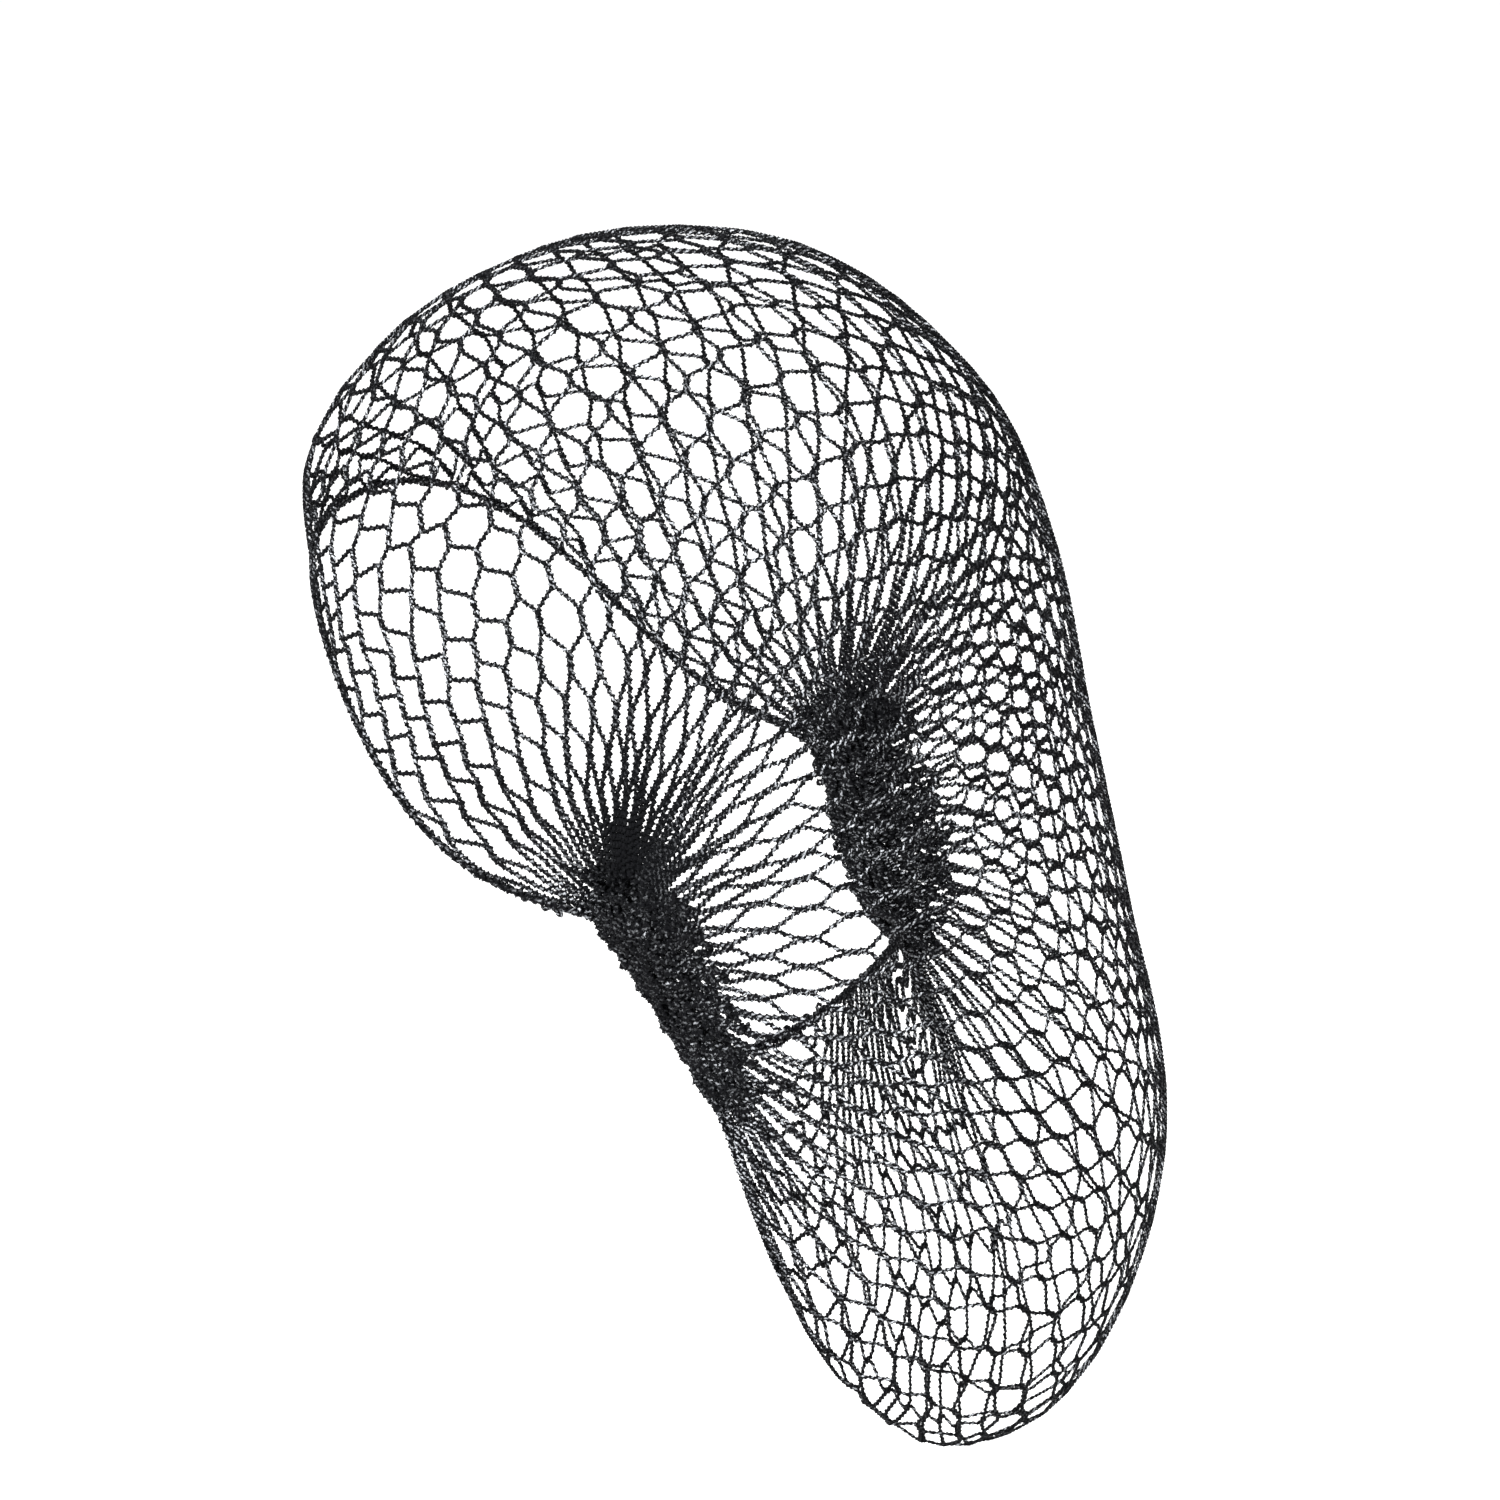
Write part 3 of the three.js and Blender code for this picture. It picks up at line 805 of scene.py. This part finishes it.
# Painted shade in the recess of the pucker over a band: its middle, in metres and with every number
# positive, the distances from it over which the painted glints come to their full strength, and their
# strength nearer to it.
PUCKER = (0.083, 0.021, 0.149)
PUCKER_REACH = (0.01, 0.03)
PUCKER_SHINE = 0.15
BUMP_DEPTH = 0.0002  # metres
NYLON_IOR = 1.3
NYLON_SPECULAR = 0.06
# The finishes: how strongly a strand along the shine direction has painted glints, the strength of
# the bump, and the brightness of the painted glints.
FINISHES = {
    "knitted_mesh": (0.1, 0.5, 1.0),
    "gathered_chains": (0.4, 0.6, 0.3),
    "edge_cord": (0.3, 0.6, 0.6),
}


def add_node(tree, kind, inputs, **properties):
    """Adds a node to a tree. Each of its inputs gets a value or is joined to an output."""
    node = tree.nodes.new(kind)
    for name, value in properties.items():
        setattr(node, name, value)
    for place, value in inputs.items():
        if isinstance(value, bpy.types.NodeSocket):
            tree.links.new(value, node.inputs[place])
        else:
            node.inputs[place].default_value = value
    return node


def math_node(tree, operation, first, second=0.0):
    """A Math node on two outputs or numbers."""
    return add_node(tree, "ShaderNodeMath", {0: first, 1: second}, operation=operation).outputs[0]


def range_node(tree, value, span, to=(0.0, 1.0)):
    """A Map Range node, clamped."""
    limits = {"From Min": span[0], "From Max": span[1], "To Min": to[0], "To Max": to[1]}
    return add_node(tree, "ShaderNodeMapRange", {"Value": value, **limits}).outputs["Result"]


def noise_node(tree, vector, scale, detail):
    """A Noise Texture node."""
    inputs = {"Vector": vector, "Scale": scale, "Detail": detail}
    return add_node(tree, "ShaderNodeTexNoise", inputs).outputs["Fac"]


def vector_node(tree, operation, vector, other=(0.0, 0.0, 0.0)):
    """A Vector Math node on an output and a vector."""
    return add_node(tree, "ShaderNodeVectorMath", {0: vector, 1: other}, operation=operation)


def nylon_painted_glints_group():
    """Node group: filaments of textured nylon drawn into knitted loops, with painted glints in their
    colour. A painted glint shines once in every stitch where a loop turns. A noise leaves some
    stitches out, strands that lie across the shine direction have the brightest painted glints, and
    in the pucker over each band they fade to painted shade. Between the glints the yarn is dark."""
    name = "nylon flecks"
    if name in bpy.data.node_groups:
        return bpy.data.node_groups[name]
    tree = bpy.data.node_groups.new(name, "ShaderNodeTree")
    for label, way, kind in (
        ("Plain Shine", "INPUT", "Float"),
        ("Dark", "INPUT", "Color"),
        ("Light", "INPUT", "Color"),
        ("Colour", "OUTPUT", "Color"),
        ("Roughness", "OUTPUT", "Float"),
        ("Height", "OUTPUT", "Float"),
    ):
        tree.interface.new_socket(label, in_out=way, socket_type="NodeSocket" + kind)
    given = tree.nodes.new("NodeGroupInput").outputs
    place = tree.nodes.new("ShaderNodeTexCoord").outputs
    fine = noise_node(tree, place["Object"], *FINE_NOISE)
    slow = noise_node(tree, place["Object"], *SLOW_NOISE)
    # one wave to a stitch, its crest moving round the strand
    split = add_node(tree, "ShaderNodeSeparateXYZ", {0: place["UV"]}).outputs
    shift = math_node(tree, "MULTIPLY", split["X"], CREST_SHIFT)
    phase = math_node(tree, "ADD", split["Y"], shift)
    wave = math_node(tree, "SINE", math_node(tree, "MULTIPLY", phase, 2 * math.pi))
    crest = range_node(tree, wave, CREST)
    grain = range_node(tree, fine, GRAIN)
    patch = range_node(tree, slow, PATCH, (PATCH_LEAST, 1.0))
    # how far the strand lies across the shine direction, which sets the strength of the painted glints
    lie = add_node(tree, "ShaderNodeAttribute", {}, attribute_name="lie").outputs["Vector"]
    cosine = vector_node(tree, "DOT_PRODUCT", lie, SHINE_DIRECTION).outputs["Value"]
    across = range_node(tree, math_node(tree, "ABSOLUTE", cosine), ACROSS, (1.0, 0.0))
    across = math_node(tree, "MAXIMUM", across, given["Plain Shine"])
    # painted shade: the glints fade in the pucker over each band, the recess where the chains are
    # drawn in and lie in folds
    mirrored = vector_node(tree, "ABSOLUTE", place["Object"]).outputs["Vector"]
    gap = vector_node(tree, "DISTANCE", mirrored, PUCKER).outputs["Value"]
    # the mask of the painted glints: crest, noises, shine direction and the painted shade of the
    # pucker
    mask = crest
    for part in (grain, patch, across, range_node(tree, gap, PUCKER_REACH, (PUCKER_SHINE, 1.0))):
        mask = math_node(tree, "MULTIPLY", mask, part)
    colours = {"Factor": mask, "A": given["Dark"], "B": given["Light"]}
    mix = add_node(tree, "ShaderNodeMix", colours, data_type="RGBA")
    results = {
        "Colour": mix.outputs["Result"],
        "Roughness": range_node(tree, fine, GLOSS_NOISE, GLOSS),
        "Height": math_node(tree, "ADD", fine, crest),
    }
    add_node(tree, "NodeGroupOutput", results)
    return tree


def nylon_material(context, name):
    """A black nylon finish: colour with painted glints, uneven gloss and a fine bump."""
    finish = context.scene.hairnet_finish
    plain_shine, bump, brightness = FINISHES[name]
    material = bpy.data.materials.get(name) or bpy.data.materials.new(name)
    material.use_nodes = True
    tree = material.node_tree
    tree.nodes.clear()
    values = {
        "Plain Shine": plain_shine,
        "Dark": (*finish.dark, 1.0),
        # the colour of the painted glints
        "Light": (*(brightness * part for part in finish.light), 1.0),
    }
    yarn_and_painted_glints = add_node(tree, "ShaderNodeGroup", values, node_tree=nylon_painted_glints_group())
    values = {"Strength": bump, "Distance": BUMP_DEPTH, "Height": yarn_and_painted_glints.outputs["Height"]}
    relief = add_node(tree, "ShaderNodeBump", values)
    inputs = {
        "Base Color": yarn_and_painted_glints.outputs["Colour"],
        "Roughness": yarn_and_painted_glints.outputs["Roughness"],
        "IOR": NYLON_IOR,
        "Specular IOR Level": NYLON_SPECULAR,
        "Normal": relief.outputs["Normal"],
    }
    shader = add_node(tree, "ShaderNodeBsdfPrincipled", inputs)
    add_node(tree, "ShaderNodeOutputMaterial", {"Surface": shader.outputs["BSDF"]})
    return material


# ---- Settings ----


def length_prop(name, millimetres, description):
    """A length that a user can change, its default given in millimetres."""
    return FloatProperty(
        name=name, description=description, default=millimetres * MM, unit="LENGTH"
    )


def angle_prop(name, degrees, description):
    """An angle that a user can change, its default given in degrees."""
    return FloatProperty(
        name=name, description=description, default=math.radians(degrees), subtype="ANGLE"
    )


def colour_prop(name, default, description):
    """A colour that a user can change."""
    return FloatVectorProperty(
        name=name, description=description, default=default, subtype="COLOR", min=0.0, max=1.0
    )


class HairnetMeshSettings(bpy.types.PropertyGroup):
    """Sizes of the knitted mesh."""

    stitch: length_prop("Stitch", 1.3, "Length of one knitted loop")
    strand_radius: length_prop("Strand radius", 0.7, "Half the thickness of a chain of loops")
    stitch_run: length_prop("Run", 14.3, "Length of strand from one joined part to the next")
    joined_least: length_prop("Shortest join", 3.0, "Length of a join in wide open mesh")
    joined_most: length_prop("Longest join", 6.2, "Length of a join in closed mesh")
    joined_gap: length_prop("Join offset", 0.4, "Distance of a strand from the middle of its join")
    closed_gap: length_prop("Closed offset", 0.7, "The same in mesh that is drawn closed")
    edge_gap: length_prop("Edge offset", 1.25, "Distance of the mesh from the edge cord")
    corner_softness: FloatProperty(
        name="Corner softness",
        description="How gently a strand turns out of a join",
        default=0.5,
        min=0.0,
        max=1.5,
    )
    front_turn: angle_prop("Front turn", 31.0, "How far the joins of the front turn to the crown")
    irregularity: length_prop("Irregularity", 0.5, "How far a join strays from its even place")
    seed: IntProperty(name="Seed", description="Chooses the irregularities", default=7)


class HairnetEdgeSettings(bpy.types.PropertyGroup):
    """Sizes of the elastic edges."""

    cord_radius: length_prop("Cord radius", 0.74, "Half the thickness of a ply of the edge cord")
    ply_offset: length_prop("Ply offset", 0.58, "Distance of a ply from the middle of the cord")
    twist: length_prop("Twist", 5.2, "Length of cord in which its plies turn round once")


class HairnetFinishSettings(bpy.types.PropertyGroup):
    """Colours of the nylon and of its painted glints."""

    dark: colour_prop("Dark", (0.004, 0.0042, 0.005), "Colour of the nylon in general")
    # the painted glints: colour that stands for the highlights of the filaments
    light: colour_prop("Painted glints", (0.5, 0.52, 0.55), "Colour of the filaments that catch the light")


class HairnetStageSettings(bpy.types.PropertyGroup):
    """Floor, light and camera."""

    floor_drop: length_prop("Floor drop", 250.0, "Height of the hairnet over the floor")
    azimuth: angle_prop("Azimuth", 115.0, "Side from which the camera looks, 0 the front")
    elevation: angle_prop("Elevation", 21.0, "Height of the camera over the horizon")
    distance: length_prop("Distance", 1400.0, "Distance of the camera from its aim")
    lens: FloatProperty(
        name="Lens", description="Focal length of the camera", default=113.6, unit="CAMERA"
    )


# ---- Operators ----

MESH_ZONES = (
    ("mesh_front", 1, 19),
    ("mesh_crown", 19, 38),
    ("mesh_back", 38, 58),
    ("mesh_pouch", 58, 76),
    ("mesh_nape", 76, 91),
)
STRAND_SIDES = 5
INTO_BAND = 2.0  # the strands of the bands reach this far out of them
OVERLAP = 1.5  # and the mesh begins this far inside that
SLIM = 0.78  # share of its radius that a strand keeps at the back, where it is stretched most
SLIMMED = (17.0, 25.0)  # the chains over which it gets slim
SLACK = 0.55  # share of their direction that the strands of the back lose at the bands, so that more painted glints show there
SLACKENED = (12.0, 16.0)  # the chains over which they come to lose it

shared = {}


def strands(settings):
    """The chains and the strands' paths, worked out again only where a setting has changed."""
    key = tuple(getattr(settings, name) for name in settings.__annotations__)
    if shared.get("key") != key:
        run, least, most = settings.stitch_run, settings.joined_least, settings.joined_most
        chains = Chains(run / MM, least / MM, most / MM)
        shared.update(key=key, chains=chains, paths=strand_paths(chains, settings))
    return shared["chains"], shared["paths"]


class HAIRNET_OT_mesh(bpy.types.Operator):
    """Knit the open mesh between the two gathers"""

    bl_idname = "hairnet.mesh"
    bl_label = "Knitted mesh"

    def execute(self, context):
        settings = context.scene.hairnet_mesh
        _, paths = strands(settings)
        material = nylon_material(context, "knitted_mesh")
        stitch, radius = settings.stitch / MM, settings.strand_radius / MM
        for name, first, last in MESH_ZONES:
            tubes = []
            for number in range(first, last):
                path = paths[number]
                path = path[from_band(path) > INTO_BAND - OVERLAP]
                slim = 1 - (1 - SLIM) * ramp(number / 2, *SLIMMED)
                slack = SLACK * ramp(number / 2, *SLACKENED)
                tubes.append(
                    knitted_rings(path, stitch, radius, STRAND_SIDES, number, slim, slack)
                )
            piece = add_piece(context, name, tubes, material, "net_bag")
        return {"FINISHED"}


BAND_SEED = 40
BAND_LOOPS = 12
BAND_LOOPS_FROM = 0.05  # share of the way down the band
BAND_LOOP_SIZES = (1.8, 3.4)
BAND_LOOP_RADIUS = 0.75  # of a strand's
BAND_RIM = 8.8  # from the middle of a band to the feet of its loops


class HAIRNET_OT_gathers(bpy.types.Operator):
    """Draw the chains together into a band at each temple"""

    bl_idname = "hairnet.gathers"
    bl_label = "Gathers"

    def execute(self, context):
        settings = context.scene.hairnet_mesh
        chains, paths = strands(settings)
        material = nylon_material(context, "gathered_chains")
        stitch, radius = settings.stitch / MM, settings.strand_radius / MM
        for name, right in (("left_gather", 0), ("right_gather", 1)):
            lines = [path[path[:, FAR_LEFT + right] < INTO_BAND] for path in paths]
            lines = [line for line in lines if len(line) > 2]
            lines += list(tucks(chains, settings, right))
            tubes = [
                knitted_rings(line, stitch, radius, STRAND_SIDES, number)
                for number, line in enumerate(lines)
            ]
            random = np.random.default_rng(settings.seed + BAND_SEED + right)
            up, across, facing = band_axes(right)
            mirror = MIRROR if right else 1.0
            for drop in random.uniform(BAND_LOOPS_FROM, 1.0, BAND_LOOPS):
                foot = (BAND_TOP + (BAND_FOOT - BAND_TOP) * drop) * mirror - across * BAND_RIM
                size = random.uniform(*BAND_LOOP_SIZES)
                loop = loose_loop(random, foot, up, -across, facing, size)
                tubes.append(
                    knitted_rings(loop, stitch, BAND_LOOP_RADIUS * radius, STRAND_SIDES, 0)
                )
            add_piece(context, name + "_chains", tubes, material, name)
        return {"FINISHED"}


PLIES = 2
PLY_STEP = 0.3  # from one point of a ply to the next
CORD_IN_BAND = 5.0  # how far the edge cords run into the bands
CORD_SIDES = 6
EDGE_SEED = 60
EDGE_LOOPS = 9  # to each side
EDGE_LOOPS_AT = (2.0, 45.0)  # distances from a band
EDGE_LOOP_SIZES = (1.2, 2.8)
KNOT_SIZES = (0.8, 1.7)
KNOT_WIDTH = 1.0  # between a knot's two loops
EDGE_LOOP_RADIUS = 0.62  # of a strand's


def plied(path, ply_offset, twist, ply):
    """One ply of a twisted cord: a helix round the path."""
    places, at = spaced(path, PLY_STEP)
    _, out, side = path_axes(places)
    turn = 2 * math.pi * (at / twist + ply / PLIES)[:, None]
    places[:, :3] += ply_offset * (side * np.cos(turn) + out * np.sin(turn))
    return places


def edge_loops(chains, paths, number, settings):
    """Small loops that stand off an edge cord, away from the mesh: a knot where each row of the
    mesh is joined to it, and loose loops near the bands."""
    random = np.random.default_rng(settings.seed + EDGE_SEED + number)
    path = paths[number]
    edge, neighbour = (0, 1) if number == 0 else (LAST_HALF, STRANDS - 2)
    inner = paths[neighbour]
    rows = np.arange(0, ROWS + 1, 2)
    knots, _ = row_distance(chains, np.full(rows.shape, edge), rows)
    loose = random.uniform(*EDGE_LOOPS_AT, (2, EDGE_LOOPS))
    loose[1] = chains.length[edge] - loose[1]
    places = np.concatenate([knots, knots + KNOT_WIDTH, loose.ravel()])
    knot_sizes = random.uniform(*KNOT_SIZES, 2 * len(knots))
    sizes = np.concatenate([knot_sizes, random.uniform(*EDGE_LOOP_SIZES, 2 * EDGE_LOOPS)])
    radius = EDGE_LOOP_RADIUS * settings.strand_radius / MM
    loops = []
    for place, size in zip(places, sizes):
        at = int(np.argmin(np.abs(path[:, FAR_LEFT] - place)))
        at = min(max(at, 2), len(path) - 3)
        foot, facing = path[at, :3], path[at, 3:6]
        along = unit(path[at + 2, :3] - path[at - 2, :3])
        outward = unit(np.cross(facing, along))
        mesh_side = inner[np.argmin(np.linalg.norm(inner[:, :3] - foot, axis=1)), :3]
        outward = outward * -np.sign(outward @ (mesh_side - foot))
        loop = loose_loop(random, foot + outward * LOOP_FOOT, along, outward, facing, size)
        loops.append(knitted_rings(loop, settings.stitch / MM, radius, CORD_SIDES, 0))
    return loops


class HAIRNET_OT_edges(bpy.types.Operator):
    """Twist the elastic cords of the front edge and the nape edge"""

    bl_idname = "hairnet.edges"
    bl_label = "Elastic edges"

    def execute(self, context):
        settings = context.scene.hairnet_mesh
        edge = context.scene.hairnet_edge
        chains, paths = strands(settings)
        material = nylon_material(context, "edge_cord")
        stitch, radius = settings.stitch / MM, edge.cord_radius / MM
        for name, number, node in (
            ("front_edge", 0, "front_elastic"),
            ("nape_edge", STRANDS - 1, "nape_elastic"),
        ):
            path = paths[number]
            path = path[from_band(path) > -CORD_IN_BAND]
            tubes = []
            for ply in range(PLIES):
                line = plied(path, edge.ply_offset / MM, edge.twist / MM, ply)
                tubes.append(knitted_rings(line, stitch, radius, CORD_SIDES, ply))
            tubes += edge_loops(chains, paths, number, settings)
            add_piece(context, name, tubes, material, node)
        return {"FINISHED"}


FLOOR_HALF = 12.0  # half the length of its side, in metres
FLOOR_COLOUR = (0.9, 0.9, 0.9, 1.0)
FLOOR_ROUGHNESS = 0.9
SURROUND_COLOUR = (1.0, 1.0, 1.0, 1.0)
SURROUND_STRENGTH = 0.9
# The lights: name, place seen from the middle of the hairnet, diameter in metres, and watts.
LIGHTS = (
    ("key", (1.5, -0.5, 1.3), 0.9, 60.0),
    ("fill", (1.8, 1.2, 0.6), 1.6, 20.0),
    ("top", (-0.6, 0.3, 2.4), 2.5, 60.0),
)
CAMERA_AIM = Vector((0.0055, 0.0217, -0.1507))
SENSOR_WIDTH = 36.0  # millimetres, as the focal length
NEAREST, FURTHEST = 0.05, 60.0  # the distances that the camera sees, in metres


def lay_floor(scene, height):
    """A plain pale square."""
    mesh = bpy.data.meshes.new("floor")
    corners = [(-1, -1), (1, -1), (1, 1), (-1, 1)]
    points = [(FLOOR_HALF * x, FLOOR_HALF * y, height) for x, y in corners]
    mesh.from_pydata(points, [], [(0, 1, 2, 3)])
    add_object(scene, "floor", mesh)
    paper = bpy.data.materials.new("floor_paper")
    paper.use_nodes = True
    shader = paper.node_tree.nodes["Principled BSDF"]
    shader.inputs["Base Color"].default_value = FLOOR_COLOUR
    shader.inputs["Roughness"].default_value = FLOOR_ROUGHNESS
    mesh.materials.append(paper)


def set_lights(scene, centre):
    """An even white surround and round lamps that face the middle of the hairnet."""
    world = bpy.data.worlds.new("studio")
    scene.world = world
    world.use_nodes = True
    background = world.node_tree.nodes["Background"]
    background.inputs["Color"].default_value = SURROUND_COLOUR
    background.inputs["Strength"].default_value = SURROUND_STRENGTH
    for name, place, size, power in LIGHTS:
        data = bpy.data.lights.new(name, "AREA")
        data.shape = "DISK"
        data.size = size
        data.energy = power
        lamp = add_object(scene, name, data)
        lamp.location = centre + Vector(place)
        lamp.rotation_euler = (centre - lamp.location).to_track_quat("-Z", "Y").to_euler()


def place_camera(scene, stage):
    """The camera, at its distance from its aim in the direction of its azimuth and elevation."""
    data = bpy.data.cameras.new("camera")
    data.lens = stage.lens
    data.sensor_width = SENSOR_WIDTH
    data.clip_start = NEAREST
    data.clip_end = FURTHEST
    camera = add_object(scene, "camera", data)
    level = math.cos(stage.elevation)
    x, y = math.sin(stage.azimuth) * level, -math.cos(stage.azimuth) * level
    back = Vector((x, y, math.sin(stage.elevation)))
    camera.location = CAMERA_AIM + back * stage.distance
    camera.rotation_euler = (-back).to_track_quat("-Z", "Y").to_euler()
    scene.camera = camera


class HAIRNET_OT_stage(bpy.types.Operator):
    """Lay the floor, set the soft lights and place the camera"""

    bl_idname = "hairnet.stage"
    bl_label = "Floor, light and camera"

    def execute(self, context):
        scene = context.scene
        low, high = cad_box
        lay_floor(scene, low.z - scene.hairnet_stage.floor_drop)
        set_lights(scene, (low + high) / 2)
        place_camera(scene, scene.hairnet_stage)
        scene.view_settings.view_transform = "Standard"
        return {"FINISHED"}


class HAIRNET_PT_panel(bpy.types.Panel):
    """Settings of the hairnet"""

    bl_idname = "HAIRNET_PT_panel"
    bl_label = "Hairnet"
    bl_space_type = "VIEW_3D"
    bl_region_type = "UI"
    bl_category = "Hairnet"

    def draw(self, context):
        for group in GROUPS:
            settings = getattr(context.scene, group)
            for name in settings.__annotations__:
                self.layout.prop(settings, name)
        for operator in OPERATORS:
            self.layout.operator(operator.bl_idname)


GROUPS = {
    "hairnet_mesh": HairnetMeshSettings,
    "hairnet_edge": HairnetEdgeSettings,
    "hairnet_finish": HairnetFinishSettings,
    "hairnet_stage": HairnetStageSettings,
}
OPERATORS = (HAIRNET_OT_stage, HAIRNET_OT_mesh, HAIRNET_OT_gathers, HAIRNET_OT_edges)
CLASSES = (*GROUPS.values(), *OPERATORS, HAIRNET_PT_panel)


def register():
    """Registers the classes and gives every scene its groups of settings."""
    for item in CLASSES:
        bpy.utils.register_class(item)
    for name, group in GROUPS.items():
        setattr(bpy.types.Scene, name, PointerProperty(type=group))


def unregister():
    """Takes them all away again."""
    for name in GROUPS:
        delattr(bpy.types.Scene, name)
    for item in reversed(CLASSES):
        bpy.utils.unregister_class(item)


def main():
    """Builds the stage and the hairnet."""
    register()
    bpy.ops.hairnet.stage()
    bpy.ops.hairnet.mesh()
    bpy.ops.hairnet.gathers()
    bpy.ops.hairnet.edges()


if __name__ == "__main__":
    main()
